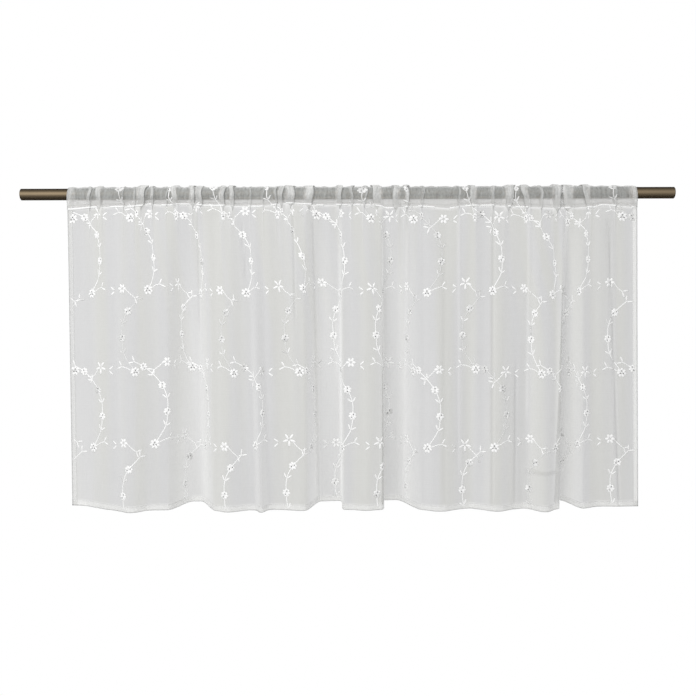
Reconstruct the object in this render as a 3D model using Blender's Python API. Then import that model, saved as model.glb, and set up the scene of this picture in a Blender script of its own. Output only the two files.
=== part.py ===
# Cafe curtain gathered on a round rod
#
# One panel of sheer cloth hangs from a straight metal rod. The top of the
# panel is turned over the rod and sewn down behind, which makes the pocket
# that the rod runs through. Below the pocket the gathers open into folds that
# grow towards the hem.
#
# Metres, +Z up. The origin is on the rod's axis, midway between its ends. The
# curtain's front looks along -Y, and +X is to the right as seen from the front.

import math

import bmesh
import bpy

MM = 0.001

# Rod
ROD_LENGTH = 0.906
ROD_DIAMETER = 0.016
ROD_SIDES = 48

# Cloth as it hangs, measured from the rod's middle and axis
CLOTH_THICKNESS = 0.001
CLOTH_LEFT = -0.389
CLOTH_RIGHT = 0.402
SEAM_DROP = 0.0175
POCKET_DRAWN_IN = 0.006
HEM_DROP = 0.4395

# How the folds change from the seam to the hem
FOLD_GROWTH = 0.8
GATHER_REACH = 0.16
GATHER_STANDS_OUT = 0.40
HEM_LIFT_PER_BACK = 0.10
HEM_LIFT_FROM = 0.028
PLUMB_FORWARD = 0.008

# Mesh density
WIDEST_COLUMN = 0.011
NARROWEST_COLUMN = 0.0036
STEEP_COLUMN = 0.0015
GENTLE_SIDE = 0.012
STEEP_STEPS = 5
GENTLE_STEPS = 3
GATHER_SHARES = (-0.8, 0.0, 0.8)
FRONT_SHARES = (-0.5, 0.0, 0.5)

# Where a thread that leaves the heading at one place reaches the hem, in mm
THREAD_COLUMNS = ("heading", "hem")
THREADS = (
    (-389, -389),
    (-330, -322),
    (-210, -208),
    (-150, -136),
    (-49, -46),
    (47, 47),
    (160, 158),
    (299, 289),
    (360, 366),
    (402, 404),
)

# Folds that stand back at the hem, in mm: where each starts and ends, how
# wide its two sides are, how far it goes back, and how far each side is
# tucked under the cloth in front of it
BACK_FOLD_COLUMNS = ("start", "end", "start_side", "end_side", "back", "start_tuck", "end_tuck")
BACK_FOLDS = (
    (-440, -320, 20, 64, 28, 0, 0),
    (-250, -183, 28, 28, 47, 0, 0),
    (-60, -5, 22, 8, 46, 0, 1.5),
    (43, 102, 8, 34, 50, 4.5, 0),
    (286, 326, 8, 24, 46, 5.0, 0),
    (318, 450, 30, 20, 13, 0, 0),
)

# Folds that stand forward at the hem, in mm
FRONT_FOLD_COLUMNS = ("middle", "half_width", "forward")
FRONT_FOLDS = (
    (-298, 26, 13),
    (-163, 30, 12),
    (-119, 10, 13),
    (-67, 22, 5),
    (25, 24, 5),
    (126, 30, 11),
    (167, 16, -5),
    (205, 26, 12),
    (243, 14, -4),
    (268, 22, 14),
)

# Gathers over the rod, in mm: the middle and width of each, and how far its
# top leans to the right of its foot at the seam
GATHER_COLUMNS = ("middle", "width", "lean")
GATHERS = (
    (-358, 3.5, 0),
    (-345, 6.2, -1),
    (-296, 2.8, 0),
    (-287, 9.7, 4),
    (-271, 4.2, 0),
    (-240, 6.9, -1),
    (-215, 6.9, 0),
    (-205, 8.3, 0),
    (-173, 6.2, 0),
    (-160, 6.2, 0),
    (-99, 2.8, 0),
    (-92, 5.6, 0),
    (-79, 11.1, 1),
    (-54, 11.1, 3),
    (-11, 6.9, 0),
    (6, 3.5, 1),
    (23, 3.5, 4),
    (42, 11.1, -4),
    (67, 8.3, -1),
    (82, 5.6, 1),
    (103, 2.8, 3),
    (155, 2.8, -1),
    (175, 6.9, -3),
    (202, 4.2, 1),
    (223, 9.7, 6),
    (249, 6.9, -6),
    (269, 3.5, 0),
    (291, 9.7, 1),
    (305, 12.5, -1),
    (334, 6.9, -6),
    (372, 2.8, 0),
)

# The seam isn't level: how much lower than its usual drop it is, in mm
SEAM_COLUMNS = ("across", "lower")
SEAM_LINE = (
    (-389, 3.0),
    (-347, 0.0),
    (-300, -1.0),
    (-275, -4.0),
    (-254, -2.5),
    (-230, -4.0),
    (-192, -2.0),
    (-125, -0.5),
    (-80, -5.0),
    (-40, -2.0),
    (40, -3.0),
    (54, 2.5),
    (97, 0.0),
    (142, 3.0),
    (158, -0.5),
    (197, -1.0),
    (242, 1.7),
    (297, 3.3),
    (341, 2.0),
    (353, -1.0),
    (402, 2.0),
)

# The cloth's way round the rod, in mm from the rod's axis, from the front of
# the seam over the top and down behind to the seam again, and which way the
# gathers push it there
POCKET_COLUMNS = ("forward", "up", "out_forward", "out_up")
POCKET = (
    (7.8, -6.2, 1.0, 0.0),
    (9.3, 0.0, 1.0, 0.0),
    (7.2, 6.0, 0.8, 0.5),
    (3.5, 8.5, 0.3, 0.9),
    (0.0, 8.9, 0.0, 1.0),
    (-3.5, 8.5, -0.2, 0.8),
    (-7.2, 6.0, -0.6, 0.4),
    (-9.3, 0.0, -0.8, 0.0),
    (-7.8, -6.2, -0.4, 0.0),
)

# Heights of the rows below the seam, as shares of the way to the hem
FRONT_ROWS = (1.0, 0.965, 0.88, 0.76, 0.63, 0.49, 0.35, 0.22, 0.12, 0.05, 0.0)


def rows(columns, table):
    """Give each row of a table in mm as a dictionary in metres."""
    return [dict(zip(columns, [value * MM for value in row])) for row in table]


BACK = rows(BACK_FOLD_COLUMNS, BACK_FOLDS)
FRONT = rows(FRONT_FOLD_COLUMNS, FRONT_FOLDS)
GATHER = rows(GATHER_COLUMNS, GATHERS)
THREAD = rows(THREAD_COLUMNS, THREADS)
SEAM = rows(SEAM_COLUMNS, SEAM_LINE)


def smooth_step(share):
    """Ease from 0 to 1 with level ends."""
    share = min(max(share, 0.0), 1.0)
    return share * share * (3.0 - 2.0 * share)


def bump(distance, half_width):
    """A rounded ridge, 1 at its middle and 0 from half_width outwards."""
    if abs(distance) >= half_width:
        return 0.0
    return math.cos(0.5 * math.pi * distance / half_width) ** 2


def follow_thread(across, start="heading", end="hem"):
    """Give a thread's place at one end of its way from its place at the other."""
    for first, second in zip(THREAD, THREAD[1:]):
        if across <= second[start]:
            break
    share = (across - first[start]) / (second[start] - first[start])
    return first[end] + share * (second[end] - first[end])


def seam_drop(across):
    """How far below the rod's axis the pocket's seam is at one place."""
    for first, second in zip(SEAM, SEAM[1:]):
        if across <= second["across"]:
            break
    share = smooth_step((across - first["across"]) / (second["across"] - first["across"]))
    return SEAM_DROP + first["lower"] + share * (second["lower"] - first["lower"])


def fold_forward(hem_across):
    """How far the hem stands forward of the rod's axis at one place."""
    forward = PLUMB_FORWARD
    for fold in FRONT:
        forward += fold["forward"] * bump(hem_across - fold["middle"], fold["half_width"])
    for fold in BACK:
        rise = smooth_step((hem_across - fold["start"]) / fold["start_side"])
        fall = smooth_step((fold["end"] - hem_across) / fold["end_side"])
        forward -= fold["back"] * rise * fall
    return forward


def tuck_shift(hem_across):
    """The sideways S that slides a back fold under its neighbours."""
    shift = 0.0
    for fold in BACK:
        start_share = (hem_across - fold["start"]) / fold["start_side"]
        end_share = (fold["end"] - hem_across) / fold["end_side"]
        if 0.0 < start_share < 1.0:
            shift += fold["start_tuck"] * math.sin(2.0 * math.pi * start_share)
        if 0.0 < end_share < 1.0:
            shift -= fold["end_tuck"] * math.sin(2.0 * math.pi * end_share)
    return shift


def gather_out(across):
    """How far the gathers stand out from the rod at one place."""
    out = 0.0
    for gather in GATHER:
        height = GATHER_STANDS_OUT * gather["width"]
        out = max(out, height * bump(across - gather["middle"], gather["width"]))
    return out


def gather_lean(across):
    """How far the cloth at one place leans sideways between seam and top."""
    return sum(g["lean"] * bump(across - g["middle"], 1.5 * g["width"]) for g in GATHER)


def below_seam(across, down):
    """A point of the panel at a share of the way from the seam to the hem."""
    hem_across = follow_thread(across)
    grown = down ** FOLD_GROWTH
    hem_forward = fold_forward(hem_across)
    x = across + (hem_across - across) * down + tuck_shift(hem_across) * grown
    forward = hem_forward * grown + gather_out(across) * math.exp(-down / GATHER_REACH)
    lift = HEM_LIFT_PER_BACK * (HEM_LIFT_FROM - hem_forward) * down
    seam = seam_drop(across)
    z = -seam - (HEM_DROP - seam) * down + lift
    return (x, -forward, z)


def round_rod(across, forward, up, out_forward, out_up):
    """A point of the pocket, pushed out where the cloth is gathered."""
    out = gather_out(across)
    above_seam = (up * MM + SEAM_DROP) / (0.5 * ROD_DIAMETER + SEAM_DROP)
    x = across * (1.0 - POCKET_DRAWN_IN * above_seam) + gather_lean(across) * above_seam
    y = -(forward * MM + out_forward * out)
    z = up * MM + out_up * out
    return (x, y, z)


def fold_sides():
    """Each side of each back fold: its foot, its signed width, and if it is steep."""
    for fold in BACK:
        yield fold["start"], fold["start_side"], fold["start_side"] < GENTLE_SIDE
        yield fold["end"], -fold["end_side"], fold["end_side"] < GENTLE_SIDE


def wanted_columns():
    """Places across the heading where a gather or fold needs a column."""
    wanted = []
    for gather in GATHER:
        wanted += [gather["middle"] + share * gather["width"] for share in GATHER_SHARES]
    hem_places = []
    for foot, width, steep in fold_sides():
        steps = STEEP_STEPS if steep else GENTLE_STEPS
        hem_places += [foot + width * step / steps for step in range(steps + 1)]
    for fold in FRONT:
        hem_places += [fold["middle"] + share * fold["half_width"] for share in FRONT_SHARES]
    wanted += [follow_thread(place, "hem", "heading") for place in hem_places]
    return sorted(place for place in wanted if CLOTH_LEFT < place < CLOTH_RIGHT)


def on_steep_side(across):
    """Tell if a place across the heading leads down to a steep side."""
    hem_across = follow_thread(across)
    return any(steep and abs(hem_across - foot) < abs(width) for foot, width, steep in fold_sides())


def spaced_columns():
    """The wanted places in order, thinned where close and filled where far."""
    kept = [CLOTH_LEFT]
    for place in wanted_columns() + [CLOTH_RIGHT]:
        nearest = STEEP_COLUMN if on_steep_side(place) else NARROWEST_COLUMN
        last = kept[-1]
        if place - last >= nearest:
            gaps = math.ceil((place - last) / WIDEST_COLUMN)
            kept += [last + (place - last) * step / gaps for step in range(1, gaps + 1)]
    kept[-1] = CLOTH_RIGHT
    return kept


def material(name, colour, roughness, metallic):
    """A plain Principled finish for one sub-part."""
    finish = bpy.data.materials.new(name)
    finish.use_nodes = True
    shader = finish.node_tree.nodes["Principled BSDF"]
    shader.inputs["Base Color"].default_value = (*colour, 1.0)
    shader.inputs["Roughness"].default_value = roughness
    shader.inputs["Metallic"].default_value = metallic
    return finish


def add_object(name, bm, finish):
    """Put a finished bmesh in the scene as one named object."""
    mesh = bpy.data.meshes.new(name)
    bm.to_mesh(mesh)
    bm.free()
    mesh.materials.append(finish)
    mesh.shade_smooth()
    thing = bpy.data.objects.new(name, mesh)
    bpy.context.scene.collection.objects.link(thing)
    return thing


def make_panel():
    """The gathered panel, its pocket sewn down behind, as one solid."""
    columns = spaced_columns()
    profile = [(below_seam, (down,)) for down in FRONT_ROWS]
    profile += [(round_rod, pocket_row) for pocket_row in POCKET]
    profile.append((below_seam, (0.0,)))
    bm = bmesh.new()
    bmesh.ops.create_grid(bm, x_segments=len(columns) - 1, y_segments=len(profile) - 1, size=1.0)
    for vertex in bm.verts:
        column = round(0.5 * (vertex.co.x + 1.0) * (len(columns) - 1))
        row = round(0.5 * (vertex.co.y + 1.0) * (len(profile) - 1))
        place, values = profile[row]
        vertex.co = place(columns[column], *values)
    bmesh.ops.remove_doubles(bm, verts=bm.verts, dist=1e-6)
    panel = add_object("curtain_panel", bm, material("sheer_cloth", (0.86, 0.86, 0.83), 0.85, 0.0))
    thickness = panel.modifiers.new("Cloth thickness", "SOLIDIFY")
    thickness.solidify_mode = "NON_MANIFOLD"
    thickness.nonmanifold_thickness_mode = "EVEN"
    thickness.nonmanifold_boundary_mode = "FLAT"
    thickness.nonmanifold_merge_threshold = 0.00001
    thickness.thickness = CLOTH_THICKNESS
    thickness.offset = 0.0
    return panel


def make_rod():
    """The straight round rod with flat ends."""
    bm = bmesh.new()
    bmesh.ops.create_cone(
        bm,
        cap_ends=True,
        segments=ROD_SIDES,
        radius1=0.5 * ROD_DIAMETER,
        radius2=0.5 * ROD_DIAMETER,
        depth=ROD_LENGTH,
    )
    rod = add_object("rod", bm, material("rod_metal", (0.20, 0.15, 0.10), 0.35, 0.9))
    rod.rotation_euler = (0.0, math.radians(90.0), 0.0)
    rod.data.set_sharp_from_angle(angle=math.radians(40.0))
    return rod


def main():
    """Clear the scene and make the two pieces."""
    for thing in list(bpy.data.objects):
        bpy.data.objects.remove(thing)
    make_panel()
    make_rod()


main()
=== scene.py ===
# %% [markdown]
# # A sheer cafe curtain on its rod
# A cafe curtain covers the lower part of a window. This one is a single panel
# of white voile: its top edge is turned over and sewn down to make a pocket,
# the pocket is pushed together on a round metal rod, and the cloth below opens
# into soft uneven folds. White garlands are stitched all over it.
# The lesson builds the cloth from a few named sizes and short tables, lays the
# stitching on it, and then gives each surface its finish.

import math

import bmesh
import bpy
import numpy as np
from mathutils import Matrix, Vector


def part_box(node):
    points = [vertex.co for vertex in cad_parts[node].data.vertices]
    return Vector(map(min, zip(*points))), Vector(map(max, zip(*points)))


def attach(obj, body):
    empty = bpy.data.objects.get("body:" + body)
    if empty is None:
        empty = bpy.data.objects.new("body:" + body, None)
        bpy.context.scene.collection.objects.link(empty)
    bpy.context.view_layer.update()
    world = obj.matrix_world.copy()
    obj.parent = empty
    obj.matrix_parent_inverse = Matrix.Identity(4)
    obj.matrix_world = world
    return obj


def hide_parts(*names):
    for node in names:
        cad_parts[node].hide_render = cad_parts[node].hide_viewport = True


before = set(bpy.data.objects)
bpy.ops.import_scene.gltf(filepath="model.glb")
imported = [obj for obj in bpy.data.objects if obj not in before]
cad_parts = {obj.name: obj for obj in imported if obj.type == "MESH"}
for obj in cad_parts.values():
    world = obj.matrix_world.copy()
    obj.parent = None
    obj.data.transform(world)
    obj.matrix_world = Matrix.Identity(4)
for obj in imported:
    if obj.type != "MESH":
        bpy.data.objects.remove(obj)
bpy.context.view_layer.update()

# %% [markdown]
# ## Sizes
# Everything hangs from the rod's axis, which is the frame's own X axis. The
# rod's sizes are read from the frame, so they can't drift away from it. The
# cloth's drops and edges are measured from the axis too. Tables are in
# millimetres, because that is how a maker would note them down.

# %% Name the sizes
MM = 0.001
rod_low, rod_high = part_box("rod")
ROD_RADIUS = 0.5 * (rod_high.z - rod_low.z)
ROD_END = rod_high.x

CLOTH_LEFT = -389 * MM
CLOTH_RIGHT = 402 * MM
SEAM_DROP = 17.5 * MM
HEM_DROP = 439.5 * MM
SKIRT = HEM_DROP - SEAM_DROP
BOTTOM_HEM = 8 * MM
SIDE_HEM = 7 * MM
print("rod", round(2 * ROD_END, 3), "m long, cloth", round(CLOTH_RIGHT - CLOTH_LEFT, 3), "m wide as it hangs")

# %% [markdown]
# ## The folds, in tables
# Cloth that is gathered on a rod has two kinds of fold. Over the rod it is
# pushed into narrow pleats that lie flat on each other. Further down the
# pleats let go and the cloth swings into a few wide folds that are deepest at
# the hem. Each fold gets one row here, so it can be made deeper or moved by
# changing one number.

# %% Table of threads
# Where a thread that leaves the heading at one place reaches the hem
THREAD_COLUMNS = ("heading", "hem")
THREADS = (
    (-389, -389),
    (-330, -322),
    (-210, -208),
    (-150, -136),
    (-49, -46),
    (47, 47),
    (160, 158),
    (299, 289),
    (360, 366),
    (402, 404),
)

# %% Tables of wide folds
# Back folds: where each starts and ends, how wide its sides are, how far it
# goes back, and how far each side is tucked under the cloth in front of it
BACK_FOLD_COLUMNS = ("start", "end", "start_side", "end_side", "back", "start_tuck", "end_tuck")
BACK_FOLDS = (
    (-440, -320, 20, 64, 28, 0, 0),
    (-250, -183, 28, 28, 47, 0, 0),
    (-60, -5, 22, 8, 46, 0, 1.5),
    (44.4, 102, 8, 34, 50, 3.0, 0),
    (288.7, 326, 8, 24, 46, 2.0, 0),
    (318, 450, 30, 20, 13, 0, 0),
)

FRONT_FOLD_COLUMNS = ("middle", "half_width", "forward")
FRONT_FOLDS = (
    (-298, 26, 13),
    (-163, 30, 12),
    (-119, 10, 13),
    (-67, 22, 5),
    (25, 24, 5),
    (126, 30, 11),
    (167, 16, -5),
    (205, 26, 12),
    (243, 14, -4),
    (268, 22, 14),
)

# %% Table of gathers
# Over the rod: the middle and width of each pleat, and how far its top leans
# to the right of its foot. A pleat also laps over the way that it leans.
GATHER_COLUMNS = ("middle", "width", "lean")
GATHERS = (
    (-358, 3.5, 0),
    (-345, 6.2, -1),
    (-311, 2.2, 0),
    (-296, 2.8, 0),
    (-287, 9.7, 4),
    (-271, 4.2, 0),
    (-251, 2.2, 0),
    (-240, 6.9, -1),
    (-215, 6.9, 0),
    (-205, 8.3, 0),
    (-173, 6.2, 0),
    (-160, 6.2, 0),
    (-135, 2.2, 1),
    (-117, 2.2, 0),
    (-99, 2.8, 0),
    (-92, 5.6, 0),
    (-79, 11.1, 1),
    (-54, 11.1, 3),
    (-11, 6.9, 0),
    (6, 3.5, 1),
    (23, 3.5, 4),
    (42, 11.1, -4),
    (67, 8.3, -1),
    (82, 5.6, 1),
    (103, 2.8, 3),
    (155, 2.8, -1),
    (175, 6.9, -3),
    (202, 4.2, 1),
    (223, 9.7, 6),
    (249, 6.9, -6),
    (269, 3.5, 0),
    (291, 9.7, 1),
    (305, 12.5, -1),
    (334, 6.9, -6),
    (372, 2.8, 0),
)

# %% Table of the seam
# The sewn line below the rod isn't level: how much lower it is along the rod
SEAM_COLUMNS = ("across", "lower")
SEAM_LINE = (
    (-389, 3.0),
    (-347, 0.0),
    (-300, -1.0),
    (-275, -4.0),
    (-254, -2.5),
    (-230, -4.0),
    (-192, -2.0),
    (-125, -0.5),
    (-80, -5.0),
    (-40, -2.0),
    (40, -3.0),
    (54, 2.5),
    (97, 0.0),
    (142, 3.0),
    (158, -0.5),
    (197, -1.0),
    (242, 1.7),
    (297, 3.3),
    (341, 2.0),
    (353, -1.0),
    (402, 2.0),
)

# %% Table of the pocket
# The cloth's way round the rod from the front of the seam, over the top and
# down behind, and which way the gathers push it there
POCKET_COLUMNS = ("forward", "up", "out_forward", "out_up")
SEAM_FRONT = (0.0, -17.5, 1000, 0)
SEAM_BEHIND = (-0.6, -17.5, 1000, 0)
POCKET = (
    SEAM_FRONT,
    (7.8, -6.2, 1000, 0),
    (9.3, 0.0, 1000, 0),
    (7.2, 6.0, 800, 500),
    (3.5, 8.5, 300, 900),
    (0.0, 8.9, 0, 1000),
    (-3.5, 8.5, -200, 800),
    (-7.2, 6.0, -600, 400),
    (-9.3, 0.0, -800, 0),
    (-7.8, -6.2, -400, 0),
    SEAM_BEHIND,
)

# %% Table of creases
# Soft lines that only show close to: where each starts and ends on its way
# down, how wide it is, and how far it stands forward
CREASE_COLUMNS = ("heading", "hem", "from_share", "to_share", "half_width", "forward")
CREASES = (
    (-209, -209, 0, 400, 3.0, -1.6),
    (-150, -128, 20, 240, 4.0, -2.2),
    (-76, -74, 0, 380, 3.0, -1.8),
    (-49, -46, 20, 1000, 3.5, -2.0),
    (-15, -15, 350, 580, 5.0, 1.6),
    (84, 80, 50, 1000, 4.0, 1.2),
    (133, 131, 100, 1000, 5.0, -1.2),
    (155, 156, 0, 900, 4.0, 1.2),
    (202, 201, 0, 1000, 4.0, -1.4),
    (236, 234, 500, 1000, 3.5, -2.2),
    (253, 254, 0, 700, 4.0, 1.2),
    (305, 303, 0, 700, 3.0, 1.6),
    (361, 372, 30, 1000, 4.0, -2.6),
)

# Long shallow waves that keep the flat parts from looking pressed
WAVE_COLUMNS = ("length", "forward", "drift", "start")
WAVES = (
    (83, 1.1, 30, 10),
    (47, 0.7, -22, 31),
    (29, 0.45, 12, 5),
    (17, 0.22, -8, 11),
)

# %% Read the tables
def rows(columns, table):
    """Give each row of a table in mm as a dictionary in metres."""
    return [dict(zip(columns, [value * MM for value in row])) for row in table]


THREAD = rows(THREAD_COLUMNS, THREADS)
BACK = rows(BACK_FOLD_COLUMNS, BACK_FOLDS)
FRONT = rows(FRONT_FOLD_COLUMNS, FRONT_FOLDS)
GATHER = rows(GATHER_COLUMNS, GATHERS)
CREASE = rows(CREASE_COLUMNS, CREASES)
WAVE = rows(WAVE_COLUMNS, WAVES)
SEAM = rows(SEAM_COLUMNS, SEAM_LINE)
print(len(GATHER), "gathers,", len(BACK), "back folds,", len(FRONT), "front folds,", len(CREASE), "creases")

# %% [markdown]
# ## The cloth as a surface
# A place on the panel has two numbers: how far across the heading it lies, and
# what share of the way from the seam down to the hem it has come. The
# functions below turn those into a point in space. They take whole arrays, so
# the same code serves the cloth and, later, every stitch that lies on it.

# %% Helpers for smooth shapes
def smooth_step(share):
    """Ease from 0 to 1 with level ends."""
    share = np.clip(share, 0.0, 1.0)
    return share * share * (3.0 - 2.0 * share)


def bump(distance, half_width):
    """A rounded ridge, 1 at its middle and 0 from half_width outwards."""
    near = np.clip(np.abs(distance) / half_width, 0.0, 1.0)
    return np.cos(0.5 * np.pi * near) ** 2


def follow_thread(across):
    """A thread's place at the hem from its place at the heading."""
    return np.interp(across, [t["heading"] for t in THREAD], [t["hem"] for t in THREAD])


def seam_drop(across):
    """How far below the rod's axis the pocket's seam runs."""
    places = [s["across"] for s in SEAM]
    turn = np.interp(across, places, np.arange(len(places)))
    eased = np.floor(turn) + smooth_step(turn - np.floor(turn))
    return SEAM_DROP + np.interp(eased, np.arange(len(places)), [s["lower"] for s in SEAM])

# %% Wide folds
FOLD_GROWTH = 0.8
PLUMB_FORWARD = 8 * MM
HEM_LIFT_PER_BACK = 0.10
HEM_LIFT_FROM = 28 * MM


def fold_forward(hem_across):
    """How far the hem stands forward of the rod's axis."""
    forward = np.full_like(hem_across, PLUMB_FORWARD)
    for fold in FRONT:
        forward += fold["forward"] * bump(hem_across - fold["middle"], fold["half_width"])
    for fold in BACK:
        rise = smooth_step((hem_across - fold["start"]) / fold["start_side"])
        fall = smooth_step((fold["end"] - hem_across) / fold["end_side"])
        forward -= fold["back"] * rise * fall
    return forward


def one_turn(share):
    """One turn of a sine inside 0 to 1, and nothing outside."""
    return np.where((share > 0.0) & (share < 1.0), np.sin(2.0 * np.pi * share), 0.0)


def tuck_shift(hem_across):
    """The sideways S that slides a back fold under its neighbours."""
    shift = np.zeros_like(hem_across)
    for fold in BACK:
        shift += fold["start_tuck"] * one_turn((hem_across - fold["start"]) / fold["start_side"])
        shift -= fold["end_tuck"] * one_turn((fold["end"] - hem_across) / fold["end_side"])
    return shift

# %% Pleats over the rod
GATHER_STANDS_OUT = 0.34
GATHER_MOST_OUT = 2.2 * MM
GATHER_REACH = 0.07
LAP = 0.66
LAP_REACH = 0.013
PLEAT_RAMP = 0.4


def pleats(across):
    """How far the pleats stand out, and how far they fold the cloth sideways."""
    out = np.zeros_like(across)
    shift = np.zeros_like(across)
    for gather in GATHER:
        share = (across - gather["middle"]) / gather["width"] + 0.5
        shift += LAP * gather["width"] * one_turn(share)
        ordered = 1.0 - share if gather["lean"] >= 0 else share
        ramp = smooth_step((1.0 + PLEAT_RAMP - ordered) / PLEAT_RAMP)
        height = min(GATHER_STANDS_OUT * gather["width"], GATHER_MOST_OUT)
        out = np.maximum(out, height * smooth_step(ordered) * ramp)
    return out, shift


def lean(across):
    """How far the cloth leans sideways between the seam and the rod's top."""
    return sum(g["lean"] * bump(across - g["middle"], 1.5 * g["width"]) for g in GATHER)

# %% Small relief
SEWN_FLAT = 0.05
PRESSED_LINE = {"down": 0.873, "left": 0.246, "right": 0.306, "forward": 0.0016, "half_height": 0.006}


def crease_lines(across, down, strengths):
    """All the creases at a place, each with a strength of its own."""
    total = np.zeros(np.broadcast(across, down).shape)
    for crease, strength in zip(CREASE, strengths):
        line = crease["heading"] + (crease["hem"] - crease["heading"]) * down
        enters = smooth_step((down - crease["from_share"]) / 0.06)
        leaves = smooth_step((crease["to_share"] - down) / 0.12 + 0.5)
        total += strength * bump(across - line, crease["half_width"]) * enters * leaves
    return total


def pressed_line(across, down):
    """The one level line that pressing has left, from 0 to 1."""
    beyond = np.maximum(PRESSED_LINE["left"] - across, across - PRESSED_LINE["right"])
    height = (down - PRESSED_LINE["down"]) * SKIRT
    return bump(height, PRESSED_LINE["half_height"]) * smooth_step(-beyond / 0.01)


def relief(across, down):
    """Creases, shallow waves and the pressed line, which fade out at the seam."""
    forward = crease_lines(across, down, [crease["forward"] for crease in CREASE])
    for wave in WAVE:
        drift = wave["drift"] * np.sin(2.0 * down + wave["start"] / MM)
        turns = (across + drift * down + wave["start"]) / wave["length"]
        forward += wave["forward"] * np.sin(2.0 * np.pi * turns)
    forward += PRESSED_LINE["forward"] * pressed_line(across, down)
    return forward * smooth_step(down / SEWN_FLAT)

# %% From the seam to the hem
SEAM_RIDGE = 0.9 * MM
SEAM_RIDGE_REACH = 2.2 * MM


def skirt_point(across, down):
    """Points of the panel below the seam, as an array of x, y, z."""
    across, down = np.broadcast_arrays(across, down)
    hem_across = follow_thread(across)
    hem_forward = fold_forward(hem_across)
    grown = np.maximum(down, 0.0) ** FOLD_GROWTH
    out, shift = pleats(across)
    sideways = across + (hem_across - across) * down + tuck_shift(hem_across) * grown
    sideways = sideways + shift * np.exp(-down / LAP_REACH)
    forward = hem_forward * grown + out * np.exp(-down / GATHER_REACH) + relief(across, down)
    forward = forward + SEAM_RIDGE * bump(down * SKIRT, SEAM_RIDGE_REACH)
    lift = HEM_LIFT_PER_BACK * (HEM_LIFT_FROM - hem_forward) * down
    seam = seam_drop(across)
    up = -seam - (HEM_DROP - seam) * down + lift
    return np.stack([sideways, -forward, up], axis=-1)

# %% Round the rod
POCKET_TABLE = np.array(POCKET, float) * MM
POCKET_DRAWN_IN = 0.0075
TOP_RUFFLE = 0.7 * MM
RUFFLES = ((0.0185, 0.6), (0.0113, 0.4))
SWAY = 1.7 * MM
SWAY_EDGE = 25 * MM
SWAY_LENGTH = 27 * MM
SWAY_TURN = 1.3
ROD_CLEAR = -5 * MM


def pocket_row(place):
    """Read the pocket's table between its rows with a smooth curve."""
    last = len(POCKET_TABLE) - 1
    padded = np.vstack([
        2 * POCKET_TABLE[0] - POCKET_TABLE[1],
        POCKET_TABLE,
        2 * POCKET_TABLE[last] - POCKET_TABLE[last - 1],
    ])
    row = np.clip(np.floor(place), 0, last - 1).astype(int)
    share = (place - row)[..., None]
    p0, p1, p2, p3 = (padded[row + step] for step in range(4))
    bend = (2 * p0 - 5 * p1 + 4 * p2 - p3) * share ** 2
    twist = (3 * p1 - p0 - 3 * p2 + p3) * share ** 3
    return 0.5 * (2 * p1 + (p2 - p0) * share + bend + twist)


def pocket_point(across, place):
    """Points of the pocket, from 0 at the seam in front to its end behind."""
    across, place = np.broadcast_arrays(across, place)
    forward, up, out_forward, out_up = np.moveaxis(pocket_row(place), -1, 0)
    out, shift = pleats(across)
    ruffle = 1.0 + sum(share * np.sin(across * 2.0 * np.pi / length) for length, share in RUFFLES)
    out = out + TOP_RUFFLE * ruffle * np.maximum(out_up, 0.0)
    front_ridge = SEAM_RIDGE * bump(up + SEAM_DROP, SEAM_RIDGE_REACH)
    below_rod = np.clip((ROD_CLEAR - up) / (SEAM_DROP + ROD_CLEAR), 0.0, 1.0)
    up = up - (seam_drop(across) - SEAM_DROP) * below_rod
    above_seam = (up + SEAM_DROP) / (ROD_RADIUS + SEAM_DROP)
    from_edge = np.minimum(across - CLOTH_LEFT, CLOTH_RIGHT - across)
    sway = SWAY * smooth_step(from_edge / SWAY_EDGE) * np.clip(above_seam, 0.0, 1.0)
    sway = sway * np.sin(across * 2.0 * np.pi / SWAY_LENGTH + SWAY_TURN * place)
    sideways = across * (1.0 - POCKET_DRAWN_IN * above_seam) + shift + lean(across) * above_seam + sway
    y = -(forward + out_forward * out + front_ridge)
    return np.stack([sideways, y, up + out_up * out], axis=-1)


pocket_top = pocket_point(np.array(0.0), np.array(5.0))
print("pocket rows", len(POCKET_TABLE), "top of the pocket", np.round(pocket_top, 4))

# %% [markdown]
# ## Where the cloth's own width goes
# The garlands are stitched on flat cloth, so each place needs its distance
# across the flat panel. At the hem that distance is the length of the hem's
# wavy line, and at the heading it is the length through all the pleats. In
# between, cloth shares itself out from one to the other.

# %% Measure the cloth's width
FINE_STEPS = 6000
SETTLED = 0.45
FINE = np.linspace(CLOTH_LEFT, CLOTH_RIGHT, FINE_STEPS)


def length_along(points):
    """Running length of a line of points."""
    steps = np.linalg.norm(np.diff(points, axis=0), axis=1)
    return np.concatenate([[0.0], np.cumsum(steps)])


HEM_LENGTH = length_along(skirt_point(FINE, np.array(1.0)))
HEADING_LENGTH = length_along(pocket_point(FINE, np.array(0.0)))
print("hem line", round(HEM_LENGTH[-1], 3), "m, heading line", round(HEADING_LENGTH[-1], 3), "m")
HEADING_LENGTH = HEADING_LENGTH * HEM_LENGTH[-1] / HEADING_LENGTH[-1]


def flat_across(across, down):
    """Distance across the flat cloth of a place on the hung cloth."""
    settled = smooth_step(down / SETTLED)
    at_heading = np.interp(across, FINE, HEADING_LENGTH)
    at_hem = np.interp(across, FINE, HEM_LENGTH)
    return at_heading + (at_hem - at_heading) * settled


def find_across(flat, down):
    """The place on the hung cloth of a distance across the flat cloth."""
    low = np.full_like(flat, CLOTH_LEFT)
    high = np.full_like(flat, CLOTH_RIGHT)
    for _ in range(24):
        middle = 0.5 * (low + high)
        short = flat_across(middle, down) < flat
        low = np.where(short, middle, low)
        high = np.where(short, high, middle)
    return 0.5 * (low + high)

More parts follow.
